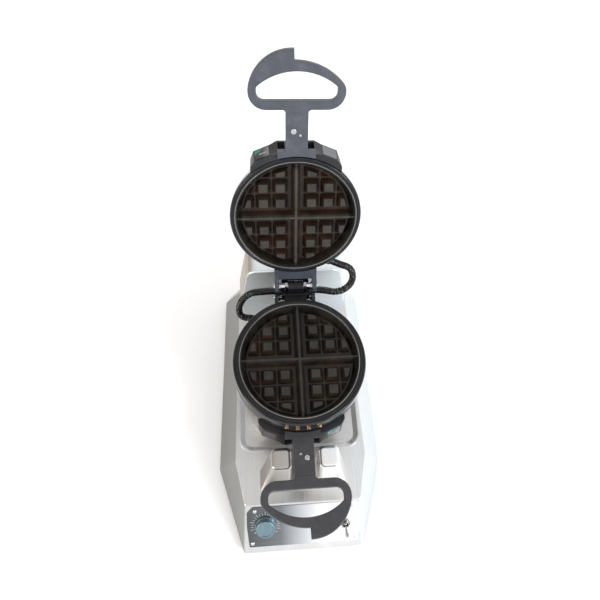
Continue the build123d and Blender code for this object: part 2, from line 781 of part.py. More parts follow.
# handle: a stem with a foot plate, and a D-shaped loop with a fin on one side of its end
with BuildPart() as lid_handle:
    with BuildSketch(Plane.XY.offset(handle_low)):
        with BuildLine():
            Polyline((-loop_half, -bar_start), (loop_half, -bar_start), (loop_half, -loop_side))
            ThreePointArc((loop_half, -loop_side), (38, -223.4), (0, -loop_end))
            Line((0, -loop_end), (-3.6, -loop_end))
            Line((-3.6, -loop_end), (-4, -fin_end))
            ThreePointArc((-4, -fin_end), (-43.5, -235.3), (-loop_half, -197))
            Line((-loop_half, -197), (-loop_half, -bar_start))
        make_face()
        fillet(vertices().filter_by(lambda v: v.X > loop_half - 1 and v.Y < -loop_side + 1), radius=14)
        fillet(vertices().filter_by(lambda v: abs(v.X) > loop_half - 1 and v.Y > -bar_start - 1), radius=24)
        with Locations((0, -(bar_start + foot_start + 6) / 2)):
            Rectangle(2 * stem_half, bar_start - foot_start - 4)
        stem_corners = vertices().filter_by(
            lambda v: abs(abs(v.X) - stem_half) < 0.1 and abs(v.Y + bar_start) < 0.1
        )
        fillet(stem_corners, radius=4.5)
    extrude(amount=handle_t)
    with BuildSketch(Plane.XY.offset(handle_low)):
        with BuildLine():
            ThreePointArc((hole_half, -hole_side), (0, -hole_end), (-hole_half, -hole_side))
            Polyline(
                (-hole_half, -hole_side),
                (-hole_half, -hole_start),
                (hole_half, -hole_start),
                (hole_half, -hole_side),
            )
        make_face()
        fillet(vertices().filter_by(lambda v: v.Y > -hole_start - 1), radius=10)
        fillet(vertices().filter_by(lambda v: v.Y < -hole_side + 1), radius=6)
    extrude(amount=handle_t, mode=Mode.SUBTRACT)
    loop_rims = lid_handle.faces().filter_by(Plane.XY).edges()
    fillet(loop_rims.filter_by(lambda e: e.center().Y < -foot_end - 1.4), radius=1.6)
    with BuildSketch(Plane.XY.offset(handle_low)):
        with Locations((0, -(foot_end + foot_start) / 2)):
            Rectangle(2 * plate_half, foot_end - foot_start)
    extrude(amount=handle_t)
    with BuildSketch(Plane.XY.offset(handle_low)):
        with Locations((0, -(grip_start + foot_start) / 2)):
            Rectangle(2 * plate_half + 2, grip_start - foot_start)
    extrude(amount=grip_step, mode=Mode.SUBTRACT)
    with BuildSketch(Plane.XY.offset(-20)):
        Circle(band_r + 0.8)
    extrude(amount=40, mode=Mode.SUBTRACT)
    with BuildSketch(Plane.XY.offset(handle_low - 1)):
        for place, radius in rivets:
            with Locations(place):
                Circle(radius)
    extrude(amount=handle_t + 2, mode=Mode.SUBTRACT)
finish_lid(lid_handle.part, "lid_handle")

rivet_rise = 1.2  # heads stand this far off the stem
with BuildPart() as lid_handle_rivets:
    with BuildSketch(Plane.XY.offset(handle_low + grip_step)):
        for place, radius in rivets:
            with Locations(place):
                Circle(radius)
    extrude(amount=handle_t - grip_step)
    for place, radius in rivets:
        for base, side in ((handle_low + grip_step, -1), (handle_low + handle_t, 1)):
            with BuildSketch(Plane.XY.offset(base)):
                with Locations(place):
                    Circle(radius + rivet_lip)
            extrude(amount=side * rivet_rise, taper=20)
finish_lid(lid_handle_rivets.part, "lid_handle_rivets")

# hinge: a plate at the lid's rear with two ears, on a pin through the hub's knuckle
with BuildPart() as lid_hinge:
    with BuildSketch(Plane.XY.offset(1)):
        with Locations((0, 103)):
            Rectangle(2 * ear_outer, 22)
        Circle(bracket_inner, mode=Mode.SUBTRACT)
    extrude(amount=24)
    for x in (-ear_outer, ear_inner):
        with BuildSketch(Plane.YZ.offset(x)):
            with BuildLine():
                Polyline((108, 1), (108, 25), (114, 25), (135, 6))
                CenterArc((hinge_y, hinge_w), 10, 40, -180)
            make_hull()
            with Locations((hinge_y, hinge_w)):
                Circle(pin_r, mode=Mode.SUBTRACT)
        extrude(amount=ear_outer - ear_inner)
finish_lid(lid_hinge.part, "lid_hinge")

with BuildPart() as lid_hinge_pin:
    with BuildSketch(Plane.YZ.offset(-ear_outer - 1.5)):
        with Locations((hinge_y, hinge_w)):
            Circle(pin_r)
    extrude(amount=2 * ear_outer + 3)
    fillet(lid_hinge_pin.edges().filter_by(GeomType.CIRCLE), radius=0.8)
finish_lid(lid_hinge_pin.part, "lid_hinge_pin")

with BuildPart() as lid_hinge_nuts:
    for x in (-ear_inner + 0.2, ear_inner - 3.2):
        with BuildSketch(Plane.YZ.offset(x)):
            with Locations((hinge_y, hinge_w)):
                Circle(6.4)
                Circle(pin_r, mode=Mode.SUBTRACT)
        extrude(amount=3)
    for x in (-knuckle_half - 5.2, knuckle_half + 0.7):
        with BuildSketch(Plane.YZ.offset(x)):
            with Locations((hinge_y, hinge_w)):
                RegularPolygon(6.6, 6)
                Circle(pin_r, mode=Mode.SUBTRACT)
        extrude(amount=4.5)
finish_lid(lid_hinge_nuts.part, "lid_hinge_nuts")

# ---------------------------------------------------------------- cable conduits
hub_gland_t = 6.0
with BuildPart() as hub_glands:
    for side in (-1, 1):
        with BuildSketch(Plane.YZ.offset(side * hub_half)):
            with Locations((plate_y + conduit_y, axis_z)):
                Circle(7.4)
        extrude(amount=side * hub_gland_t)
finish(hub_glands.part, "hub_glands")


def conduit(start, knots, lid_plane, label):
    """A flexible conduit from the hub, through its knots, into a lid's gland."""
    seat = gland_plane.origin + gland_dir * gland_out
    end = lid_plane.from_local_coords(seat)
    lead = lid_plane.from_local_coords(seat + gland_dir * gland_lead)
    points = [start, *knots, lead, end]
    runs = [b - a for a, b in zip(points, points[1:])]
    radii = [
        0.45 * min(a.length, b.length) / tan(radians(a.get_angle(b)) / 2) for a, b in zip(runs, runs[1:])
    ]
    print(label, "radii", [round(r) for r in radii])
    with BuildPart() as tube:
        with BuildLine() as path:
            FilletPolyline(*points, radius=radii)
        with BuildSketch(Plane(origin=path.line @ 0, z_dir=path.line % 0)):
            Circle(conduit_r)
        sweep()
    print(label, "volume", round(tube.part.volume / (pi * conduit_r**2 * path.wire().length), 4))
    return tube.part


hub_exit = hub_half + hub_gland_t
upper_conduit = conduit(
    Vector(hub_exit, plate_y + conduit_y, axis_z),
    [
        Vector(43, plate_y + conduit_y, axis_z),
        Vector(74, plate_y + 124, 170),
        Vector(97, plate_y + 134, 185),
        Vector(95.5, plate_y + 151, 206),
    ],
    upper_lid,
    "upper conduit",
)
finish(upper_conduit, "upper_conduit")
lower_conduit = conduit(
    Vector(-hub_exit, plate_y + conduit_y, axis_z),
    [
        Vector(-61, plate_y + conduit_y, axis_z),
        Vector(-81, plate_y + 124, 174.5),
        Vector(-95, plate_y + 110.5, 162),
        Vector(-93, plate_y + 99, 141),
    ],
    lower_lid,
    "lower conduit",
)
finish(lower_conduit, "lower_conduit")
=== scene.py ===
"""Looks for the double waffle maker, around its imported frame. Everything is in metres."""
import json
import math
import random

import bpy
from mathutils import Matrix, Vector, noise


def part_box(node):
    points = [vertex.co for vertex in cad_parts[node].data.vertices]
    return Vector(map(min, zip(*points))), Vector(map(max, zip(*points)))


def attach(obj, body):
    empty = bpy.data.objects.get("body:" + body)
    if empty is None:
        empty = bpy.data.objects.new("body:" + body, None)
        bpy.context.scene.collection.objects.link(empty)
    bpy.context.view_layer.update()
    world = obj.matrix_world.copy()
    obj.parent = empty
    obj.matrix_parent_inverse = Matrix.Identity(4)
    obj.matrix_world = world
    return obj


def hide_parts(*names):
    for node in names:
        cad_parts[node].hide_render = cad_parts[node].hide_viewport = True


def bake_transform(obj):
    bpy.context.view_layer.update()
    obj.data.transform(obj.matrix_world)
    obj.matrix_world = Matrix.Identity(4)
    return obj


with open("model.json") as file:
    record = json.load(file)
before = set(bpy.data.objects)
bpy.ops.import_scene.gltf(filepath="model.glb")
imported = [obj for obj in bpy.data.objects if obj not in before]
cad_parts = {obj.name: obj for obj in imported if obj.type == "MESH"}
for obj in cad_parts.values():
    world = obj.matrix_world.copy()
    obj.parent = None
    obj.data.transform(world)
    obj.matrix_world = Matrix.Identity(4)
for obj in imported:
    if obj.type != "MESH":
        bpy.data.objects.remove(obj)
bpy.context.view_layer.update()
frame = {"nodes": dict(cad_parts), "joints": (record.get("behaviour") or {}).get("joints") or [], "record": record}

MM = 0.001
REACH = "reach"  # the radius, in millimetres, that a turned ring's points carry
BEND = "bend"  # how sharply a conduit bends, from 0 to 1, that its points carry

# radii about a plate's axis, in millimetres
FIELD_R = 79.8  # the pegs reach this far
MOUTH_R = 90.2  # the mouth of the wall round the pegs
LIP_R = 91.05  # the rings' bore
RIM_R = 99.5  # the lid rims' outer edge

LID_GAP = 0.3 * MM  # the lids' faces stand this far off the centre plate
POCKET_DEPTH = 15 * MM  # from a grid's face
RIM_DEPTH = 9.0  # millimetres
TRIM_T = 1.2 * MM  # the control panel's thickness

NODES = frame["nodes"]
band_low, band_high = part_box("centre_band")
plate = Vector(((band_low.x + band_high.x) / 2, (band_low.y + band_high.y) / 2, 0))
axis_z = (band_low.z + band_high.z) / 2
JOINTS = {j["name"]: j for j in frame["joints"]}


# ---------------------------------------------------------------- camera, floor and lights
def make_camera(place, elevation, yaw, roll, lens, shift):
    """A camera at a place, looking down by elevation, turned by yaw and rolled, in degrees."""
    tilt, turn, lean = (math.radians(a) for a in (elevation, yaw, roll))
    forward = Vector(
        (math.sin(turn) * math.cos(tilt), math.cos(turn) * math.cos(tilt), -math.sin(tilt))
    )
    level = Vector((math.cos(turn), -math.sin(turn), 0))
    above = level.cross(forward)
    right = level * math.cos(lean) + above * math.sin(lean)
    up = above * math.cos(lean) - level * math.sin(lean)
    data = bpy.data.cameras.new("camera")
    data.lens = lens
    data.sensor_width = 36
    data.shift_x, data.shift_y = shift
    camera = bpy.data.objects.new("camera", data)
    rotation = Matrix((right, up, -forward)).transposed().to_4x4()
    camera.matrix_world = Matrix.Translation(place) @ rotation
    bpy.context.scene.collection.objects.link(camera)
    bpy.context.scene.camera = camera


def make_area_light(name, place, target, size, power, color):
    """A rectangular soft light at a place, facing a target."""
    data = bpy.data.lights.new(name, "AREA")
    data.shape = "RECTANGLE"
    data.size, data.size_y = size
    data.energy = power
    data.color = color
    light = bpy.data.objects.new(name, data)
    aim = (Vector(target) - Vector(place)).to_track_quat("-Z", "Y")
    light.matrix_world = Matrix.Translation(place) @ aim.to_matrix().to_4x4()
    bpy.context.scene.collection.objects.link(light)


def make_world(stops, along):
    """A soft studio dome, its tint running along a direction."""
    world = bpy.data.worlds.new("studio")
    world.use_nodes = True
    tree = world.node_tree
    sky = tree.nodes["Background"]
    place = tree.nodes.new("ShaderNodeTexCoord")
    dot = tree.nodes.new("ShaderNodeVectorMath")
    dot.operation = "DOT_PRODUCT"
    dot.inputs[1].default_value = along
    span = tree.nodes.new("ShaderNodeMapRange")
    span.inputs["From Min"].default_value = -1
    ramp = tree.nodes.new("ShaderNodeValToRGB")
    fill_ramp(ramp, stops)
    tree.links.new(place.outputs["Generated"], dot.inputs[0])
    tree.links.new(dot.outputs["Value"], span.inputs["Value"])
    tree.links.new(span.outputs[0], ramp.inputs[0])
    tree.links.new(ramp.outputs["Color"], sky.inputs["Color"])
    bpy.context.scene.world = world


def fill_ramp(ramp, stops):
    """Set a colour ramp's stops, each (position, grey or colour)."""
    points = ramp.color_ramp.elements
    while len(points) < len(stops):
        points.new(1.0)
    for point, (position, color) in zip(points, stops):
        point.position = position
        point.color = rgba(color)


def rgba(color):
    """A grey or an RGB colour as RGBA."""
    if isinstance(color, (int, float)):
        return (color, color, color, 1)
    return (*color, 1)


# ---------------------------------------------------------------- materials
class Finish:
    """One material, its node tree built a node at a time."""

    def __init__(self, name, color, roughness, metallic=0.0, **sockets):
        self.material = bpy.data.materials.new(name)
        self.material.use_nodes = True
        self.tree = self.material.node_tree
        self.shader = self.tree.nodes["Principled BSDF"]
        self.set(self.shader, "Base Color", rgba(color))
        self.set(self.shader, "Roughness", roughness)
        self.set(self.shader, "Metallic", metallic)
        for socket, value in sockets.items():
            self.set(self.shader, socket.replace("_", " "), value)
        self.place = self.tree.nodes.new("ShaderNodeTexCoord").outputs["Object"]

    def set(self, node, socket, value):
        """Give a socket a value, or link another node's output to it."""
        if isinstance(value, bpy.types.NodeSocket):
            self.tree.links.new(value, node.inputs[socket])
        else:
            node.inputs[socket].default_value = value

    def color(self, value):
        """Link the surface's colour."""
        self.set(self.shader, "Base Color", value)

    def rough(self, value):
        """Link the surface's roughness."""
        self.set(self.shader, "Roughness", value)

    def stretched(self, scale, turn=(0, 0, 0)):
        """The piece's own coordinates, turned in degrees and then scaled."""
        node = self.tree.nodes.new("ShaderNodeMapping")
        self.set(node, "Vector", self.place)
        node.inputs["Rotation"].default_value = [math.radians(a) for a in turn]
        node.inputs["Scale"].default_value = scale
        return node.outputs[0]

    def noise(self, where, scale, detail=3.0, rough=0.5):
        """Noise from 0 to 1."""
        node = self.tree.nodes.new("ShaderNodeTexNoise")
        self.set(node, "Vector", where)
        self.set(node, "Scale", scale)
        self.set(node, "Detail", detail)
        self.set(node, "Roughness", rough)
        return node.outputs["Fac"]

    def vector(self, operation, first, second=(0, 0, 0)):
        """A node for one operation on vectors."""
        node = self.tree.nodes.new("ShaderNodeVectorMath")
        node.operation = operation
        self.set(node, 0, first)
        self.set(node, 1, second)
        return node

    def along(self, point, direction, start, end):
        """From 0 at start to 1 at end, measured from a point along a direction."""
        away = self.vector("SUBTRACT", self.place, point).outputs["Vector"]
        distance = self.vector("DOT_PRODUCT", away, direction).outputs["Value"]
        return self.span(distance, start, end, 0.0, 1.0)

    def carried(self, name):
        """A value that the mesh's points carry."""
        node = self.tree.nodes.new("ShaderNodeAttribute")
        node.attribute_name = name
        return node.outputs["Fac"]

    def from_axis(self, point, axis, start, end):
        """From 0 at one distance from an axis, in millimetres, to 1 at another."""
        away = self.vector("SUBTRACT", self.place, point).outputs["Vector"]
        across = self.vector("CROSS_PRODUCT", away, axis).outputs["Vector"]
        distance = self.vector("LENGTH", across).outputs["Value"]
        return self.span(distance, start * MM, end * MM, 0.0, 1.0)

    def facing(self, side, start, end):
        """From 0 to 1 as the surface turns to face -X or +X."""
        split = self.tree.nodes.new("ShaderNodeSeparateXYZ")
        self.set(split, 0, self.tree.nodes.new("ShaderNodeTexCoord").outputs["Normal"])
        return self.span(self.times(split.outputs["X"], side), start, end, 0.0, 1.0)

    def span(self, value, low, high, to_low, to_high):
        """Carry a range of values onto another."""
        node = self.tree.nodes.new("ShaderNodeMapRange")
        self.set(node, "Value", value)
        for socket, number in zip(("From Min", "From Max", "To Min", "To Max"), (low, high, to_low, to_high)):
            self.set(node, socket, number)
        return node.outputs[0]

    def ramp(self, value, *stops):
        """Colour by value."""
        node = self.tree.nodes.new("ShaderNodeValToRGB")
        fill_ramp(node, stops)
        self.set(node, 0, value)
        return node.outputs["Color"]

    def mixed(self, share, first, second):
        """Blend two colours."""
        node = self.tree.nodes.new("ShaderNodeMix")
        node.data_type = "RGBA"
        self.set(node, 0, share)
        for socket, color in ((6, first), (7, second)):
            self.set(node, socket, color if isinstance(color, bpy.types.NodeSocket) else rgba(color))
        return node.outputs[2]

    def tinted(self, color, tint):
        """Multiply two colours."""
        node = self.tree.nodes.new("ShaderNodeMix")
        node.data_type = "RGBA"
        node.blend_type = "MULTIPLY"
        self.set(node, 0, 1.0)
        self.set(node, 6, color)
        self.set(node, 7, tint)
        return node.outputs[2]

    def maths(self, operation, first, second):
        """One operation on two values."""
        node = self.tree.nodes.new("ShaderNodeMath")
        node.operation = operation
        self.set(node, 0, first)
        self.set(node, 1, second)
        return node.outputs[0]

    def times(self, first, second):
        """Multiply two values."""
        return self.maths("MULTIPLY", first, second)

    def plus(self, first, second):
        """Add two values."""
        return self.maths("ADD", first, second)

    def bump(self, height, strength, distance, edge=0.5):
        """Raise the surface by a height from 0 to 1, over metres, and ease its edges by millimetres."""
        eased = self.tree.nodes.new("ShaderNodeBevel")
        eased.samples = 4
        eased.inputs["Radius"].default_value = edge * MM
        node = self.tree.nodes.new("ShaderNodeBump")
        self.set(node, "Normal", eased.outputs[0])
        self.set(node, "Height", height)
        self.set(node, "Strength", strength)
        self.set(node, "Distance", distance)
        self.set(self.shader, "Normal", node.outputs[0])


def brushed_steel(name, tint, grain, low=0.24, high=0.42, painted_reflection_bands=None, sides=None, across=None):
    """Brushed stainless: fine streaks along the grain, smears, and broad warm streaks that are a painted
    reflection of a warm surround.

    Faces turned to -X and to +X take the two side colours, painted shade and light for each side. The tint also
    carries a painted light that runs across a node, darker at its -X end.
    """
    m = Finish(name, tint, low, 1.0)
    streak = m.noise(m.stretched(grain), 1.0, 4.0, 0.6)
    smear = m.noise(m.place, 14.0, 3.0, 0.6)
    color = m.ramp(m.plus(m.times(streak, 0.7), m.times(smear, 0.3)),
                   (0.3, [c * 0.86 for c in tint]), (0.7, [min(1, c * 1.06) for c in tint]))
    # painted reflection: broad warm streaks, as a warm surround would be reflected
    if painted_reflection_bands:
        share = m.ramp(m.noise(m.stretched(painted_reflection_bands), 1.0, 2.0), (0.42, 0.0), (0.58, 1.0))
        color = m.mixed(m.times(share, 0.35), color, [c * s for c, s in zip(tint, (0.92, 0.86, 0.76))])
    # painted light: the tint runs across the node, darker towards its -X end
    if across:
        node, *stops = across
        start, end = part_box(node)
        painted_light_fade = m.ramp(m.along((start.x, 0, 0), (1, 0, 0), 0.0, end.x - start.x), *stops)
        color = m.tinted(color, painted_light_fade)
    # painted shade and light: faces turned to -X or +X take their own side colours
    if sides:
        for side, shade in zip((-1, 1), sides):
            color = m.mixed(m.facing(side, 0.25, 0.9), color, shade)
    m.color(color)
    m.rough(m.span(m.plus(m.times(streak, 0.75), m.times(smear, 0.35)), 0.3, 0.8, low, high))
    m.bump(streak, 0.10, 0.0004, 0.8)
    return m.material


def polished_steel(name, tint, roughness):
    """Polished metal with fine wipe marks."""
    m = Finish(name, tint, roughness, 1.0)
    wipe = m.noise(m.stretched((260, 60, 60), (20, 10, 35)), 1.0, 3.0)
    m.rough(m.span(wipe, 0.3, 0.7, roughness, roughness + 0.1))
    m.bump(m.noise(m.place, 30.0, 2.0), 0.06, 0.002)
    return m.material


def enamel(name, tint, wear_and_painted_highlight, roughness):
    """Glossy black enamel: slight orange peel, dust and rubbed patches."""
    m = Finish(name, tint, roughness, 0.0, Specular_IOR_Level=0.30)
    patch = m.noise(m.place, 16.0, 4.0, 0.55)
    dust = m.noise(m.place, 700.0, 2.0)
    m.color(m.ramp(m.plus(patch, m.times(dust, 0.12)), (0.42, tint), (0.80, wear_and_painted_highlight)))
    m.rough(m.span(patch, 0.3, 0.75, roughness, roughness + 0.08))
    m.bump(m.noise(m.place, 260.0, 2.0), 0.05, 0.0003)
    return m.material


def ring_enamel(name, edge, tint):
    """Enamel on a turned ring: fine turning marks, with painted highlights as paler lines on its inner lip and
    just inside its outer edge.
    """
    m = Finish(name, tint, 0.14, 0.0, Specular_IOR_Level=0.28)
    reach = m.carried(REACH)
    patch = m.noise(m.place, 22.0, 4.0, 0.6)
    # painted highlight: a pale line round the inner lip
    painted_lip_highlight = m.ramp(m.span(reach, LIP_R - 1, LIP_R + 3, 0.0, 1.0),
                 (0.14, 0.0), (0.24, 1.0), (0.56, 1.0), (0.70, 0.0))
    # painted highlight: a paler line just inside the outer edge
    wear_and_painted_highlight = m.ramp(m.span(reach, edge - 3, edge, 0.0, 1.0), (0.35, 0.0), (0.55, 0.5), (0.85, 0.5), (1.0, 0.0))
    color = m.ramp(patch, (0.35, tint), (0.75, [c * 1.6 for c in tint]))
    color = m.mixed(m.times(painted_lip_highlight, m.span(patch, 0.3, 0.7, 0.55, 1.0)), color, (0.23, 0.225, 0.215))
    color = m.mixed(m.times(wear_and_painted_highlight, m.span(patch, 0.4, 0.6, 0.0, 1.0)), color, (0.050, 0.048, 0.046))
    m.color(color)
    m.rough(m.span(patch, 0.3, 0.75, 0.12, 0.24))
    m.bump(m.noise(m.place, 260.0, 2.0), 0.05, 0.0003, 0.15)
    return m.material


def grid_coating(name, face, inward, warm, tops=1.0):
    """Seasoned non-stick coating on a casting, baked brown in the channels and rubbed on the tops, with painted
    shade on the wall round the pegs and on the tops by a scale each grid sets.
    """
    m = Finish(name, 0.03, 0.4, 0.0, Specular_IOR_Level=0.30)
    level = m.along(face, inward, 0.0, POCKET_DEPTH)
    # painted shade: the wall round the pegs is darkened almost to black; it is also a little glossier
    wall = m.ramp(m.from_axis(face, inward, FIELD_R, MOUTH_R),
                  (0.0, 0.0), (0.25, 0.85), (0.9, 0.85), (1.0, 0.3))
    patch = m.noise(m.place, 34.0, 4.0, 0.6)
    stain = m.noise(m.place, 11.0, 3.0, 0.6)
    speck = m.noise(m.place, 900.0, 2.0)
    brown = m.ramp(patch, (0.3, (0.013, 0.006, 0.0035)), (0.7, (0.042, 0.019, 0.011)))
    black = m.ramp(patch, (0.3, (0.007, 0.0065, 0.005)), (0.7, (0.020, 0.017, 0.012)))
    deep = m.mixed(m.span(stain, 0.35, 0.65, max(0.0, warm - 0.35), min(1.0, warm + 0.35)), black, brown)
    # painted shade: each grid scales its tops' colour by its own amount
    high = m.ramp(patch, (0.3, [c * tops for c in (0.032, 0.030, 0.026)]),
                  (0.7, [c * tops for c in (0.062, 0.058, 0.049)]))
    color = m.mixed(m.ramp(level, (0.22, 0.0), (0.45, 1.0)), high, deep)
    m.color(m.mixed(wall, color, m.ramp(patch, (0.4, (0.006, 0.0055, 0.0045)), (0.8, (0.018, 0.014, 0.010)))))
    m.rough(m.plus(m.span(patch, 0.3, 0.7, 0.24, 0.40), m.times(wall, -0.08)))
    m.bump(speck, 0.14, 0.0003, 0.9)
    return m.material


def phenolic(name, dark, light):
    """Moulded phenolic: mottled, satin, with fine scuffs."""
    m = Finish(name, dark, 0.38, 0.0, Specular_IOR_Level=0.45)
    mottle = m.noise(m.place, 60.0, 6.0, 0.7)
    scuff = m.noise(m.stretched((900, 60, 200), (0, 0, 25)), 1.0, 3.0)
    color = m.ramp(mottle, (0.3, dark), (0.75, light))
    rubbed = m.ramp(m.plus(m.times(scuff, 0.6), m.times(mottle, 0.4)), (0.56, 0.0), (0.66, 0.3))
    m.color(m.mixed(rubbed, color, [c * 1.9 for c in light]))
    m.rough(m.plus(m.span(mottle, 0.3, 0.7, 0.34, 0.46), m.times(scuff, 0.1)))
    m.bump(m.noise(m.place, 1300.0, 2.0), 0.12, 0.0003)
    return m.material


def sleeve(name):
    """Black glazed sleeving over the cables, with pale flecks of painted highlight, strongest where it bends."""
    m = Finish(name, 0.012, 0.12, 0.0, Specular_IOR_Level=0.28)
    patch = m.noise(m.place, 120.0, 4.0, 0.6)
    # painted highlights: pale flecks, more of them where the conduit bends
    painted_glint_flecks = m.ramp(m.noise(m.place, 330.0, 2.0, 0.6), (0.59, 0.0), (0.66, 1.0))
    painted_glint_flecks = m.times(painted_glint_flecks, m.span(m.carried(BEND), 0.1, 0.8, 0.15, 1.0))
    m.color(m.mixed(painted_glint_flecks, m.ramp(patch, (0.35, 0.003), (0.75, 0.012)), (0.15, 0.155, 0.165)))
    m.rough(m.span(patch, 0.3, 0.7, 0.08, 0.18))
    m.bump(m.noise(m.place, 260.0, 2.0), 0.30, 0.0008, 0.2)
    return m.material


def moulded(name, tint, roughness):
    """Plain moulded plastic, rubber or painted casting with a fine texture."""
    m = Finish(name, tint, roughness, 0.0, Specular_IOR_Level=0.3)
    patch = m.noise(m.place, 90.0, 4.0)
    m.color(m.ramp(patch, (0.3, [c * 0.8 for c in tint]), (0.7, [c * 1.25 for c in tint])))
    m.rough(m.span(patch, 0.3, 0.7, roughness - 0.05, roughness + 0.08))
    m.bump(m.noise(m.place, 1500.0, 2.0), 0.18, 0.0003)
    return m.material


def panel_finish(name, left, right):
    """Brushed trim with a painted light across it: near black at the dial's end, running to near white at the
    switch's end.
    """
    m = Finish(name, 0.2, 0.3, 0.9)
    across = m.along((left, 0, 0), (1, 0, 0), 0.0, right - left)
    streak = m.noise(m.stretched((9, 900, 900)), 1.0, 4.0, 0.6)
    # painted light: the colour runs from near black on the left to near white on the right
    painted_light_fade = m.ramp(across, (0.0, (0.055, 0.050, 0.047)), (0.30, (0.16, 0.17, 0.18)),
                  (0.66, (0.97, 0.97, 0.98)))
    m.color(m.mixed(m.times(streak, 0.22), painted_light_fade, (0.62, 0.63, 0.64)))
    m.rough(m.span(streak, 0.3, 0.7, 0.26, 0.42))
    m.bump(streak, 0.08, 0.0004)
    return m.material


def turned(name, tint):
    """Turned metal: fine rings about an axis."""
    m = Finish(name, tint, 0.28, 1.0)
    streak = m.noise(m.stretched((700, 40, 40)), 1.0, 4.0)
    m.color(m.ramp(streak, (0.3, [c * 0.86 for c in tint]), (0.7, [min(1, c * 1.1) for c in tint])))
    m.rough(m.span(streak, 0.3, 0.7, 0.28, 0.4))
    m.bump(streak, 0.08, 0.0003)
    return m.material


def label_enamel(name, node, climb_to):
    """A label with no words: a dark field, a teal flash at one end and a pale bar."""
    low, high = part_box(node)
    climbs = [(NODES[node].matrix_world @ v.co).dot(climb_to) for v in NODES[node].data.vertices]
    m = Finish(name, 0.3, 0.3, 0.0, Specular_IOR_Level=0.5)
    share = m.along((low.x, 0, 0), (1, 0, 0), 0.0, high.x - low.x)
    climb = m.along((0, 0, 0), climb_to, min(climbs), max(climbs))
    patch = m.times(m.plus(m.noise(m.place, 160.0, 3.0), -0.5), 0.18)
    field = m.ramp(m.plus(share, patch), (0.0, (0.020, 0.022, 0.026)), (0.55, (0.035, 0.038, 0.042)),
                   (0.85, (0.16, 0.17, 0.18)))
    flash = m.ramp(m.plus(m.plus(climb, m.times(share, -0.9)), patch), (0.42, 0.0), (0.50, 1.0))
    color = m.mixed(flash, field, (0.012, 0.21, 0.17))
    bar = m.ramp(share, (0.28, 0.0), (0.34, 1.0), (0.80, 1.0), (0.86, 0.0))
    row = m.ramp(climb, (0.30, 0.0), (0.36, 1.0), (0.48, 1.0), (0.54, 0.0))
    m.color(m.mixed(m.times(m.times(bar, row), 0.6), color, (0.36, 0.38, 0.39)))
    m.bump(m.noise(m.place, 900.0, 2.0), 0.08, 0.0003)
    return m.material


# ---------------------------------------------------------------- places taken from the frame
def lid_frame(which):
    """A lid's own frame at rest: origin at its face's centre, +Y to its hinge, +Z into the lid."""
    if which == "lower":
        inward, to_hinge, across = Vector((0, 0, -1)), Vector((0, 1, 0)), Vector((-1, 0, 0))
        origin = Vector((0, plate.y, band_low.z - LID_GAP))
    else:
        joint = JOINTS["upper_lid_hinge"]
        hinge = Vector(joint["pos_m"])
        turn = math.radians(joint["range_deg"][1])
        across = Vector((1, 0, 0))
        to_hinge = Vector((0, math.cos(turn), -math.sin(turn)))
        inward = Vector((0, math.sin(turn), math.cos(turn)))
        shut_face = band_high.z + LID_GAP
        origin = hinge + to_hinge * (plate.y - hinge.y) + inward * (shut_face - hinge.z)
    turned_to = Matrix((across, to_hinge, inward)).transposed().to_4x4()
    return Matrix.Translation(origin) @ turned_to


# each plate's own frame at rest
UPPER = lid_frame("upper")
LOWER = lid_frame("lower")
CENTRE = Matrix.Translation((plate.x, plate.y, axis_z))

# the sloped front panel
trim_low, trim_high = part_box("control_panel")
KNOB = Vector(JOINTS["knob_turn"]["pos_m"])
KNOB_AXIS = Vector(JOINTS["knob_turn"]["axis"])
PANEL_UP = KNOB_AXIS.cross(Vector((1, 0, 0)))


# ---------------------------------------------------------------- mesh helpers
def new_piece(name, vertices, faces, material, smooth=True):
    """A mesh piece in the frame's coordinates."""
    mesh = bpy.data.meshes.new(name)
    mesh.from_pydata([tuple(v) for v in vertices], [], faces)
    mesh.polygons.foreach_set("use_smooth", [smooth] * len(mesh.polygons))
    mesh.materials.append(material)
    mesh.update()
    piece = bpy.data.objects.new(name, mesh)
    bpy.context.scene.collection.objects.link(piece)
    return piece


def carry(piece, name, values):
    """Give each point of a piece a value for its material to read."""
    piece.data.attributes.new(name, "FLOAT", "POINT").data.foreach_set("value", values)


def rounded(corners, radius, steps=4):
    """A closed profile with each corner rounded by its own radius."""
    points = []
    count = len(corners)
    for i, corner in enumerate(corners):
        here = Vector(corner)
        back = Vector(corners[i - 1]) - here
        on = Vector(corners[(i + 1) % count]) - here
        cut = min(radius[i], back.length * 0.45, on.length * 0.45)
        start, end = here + back.normalized() * cut, here + on.normalized() * cut
        for step in range(steps + 1):
            t = step / steps
            points.append(start * (1 - t) ** 2 + here * 2 * t * (1 - t) + end * t * t)
    return points


def lathe(name, profile, place, material, turns=160):
    """A closed profile of (radius, height), in millimetres, turned about a frame's +Z."""
    vertices, faces = [], []
    count = len(profile)
    for turn in range(turns):
        angle = 2 * math.pi * turn / turns
        for radius, height in profile:
            spot = Vector((radius * math.cos(angle), radius * math.sin(angle), height)) * MM
            vertices.append(place @ spot)
        for i in range(count):
            a = turn * count + i
            b = turn * count + (i + 1) % count
            c = (turn + 1) % turns * count + (i + 1) % count
            d = (turn + 1) % turns * count + i
            faces.append((a, d, c, b))
    piece = new_piece(name, vertices, faces, material)
    carry(piece, REACH, [radius for radius, _ in profile] * turns)
    return piece


def prism(outline, place, height):
    """A flat outline, in metres, raised from a frame's XY plane: its vertices and faces."""
    count = len(outline)
    vertices = [place @ Vector((x, y, z)) for z in (0, height) for x, y in outline]
    faces = [tuple(range(count - 1, -1, -1)), tuple(range(count, 2 * count))]
    faces += [(i, (i + 1) % count, (i + 1) % count + count, i + count) for i in range(count)]
    return vertices, faces


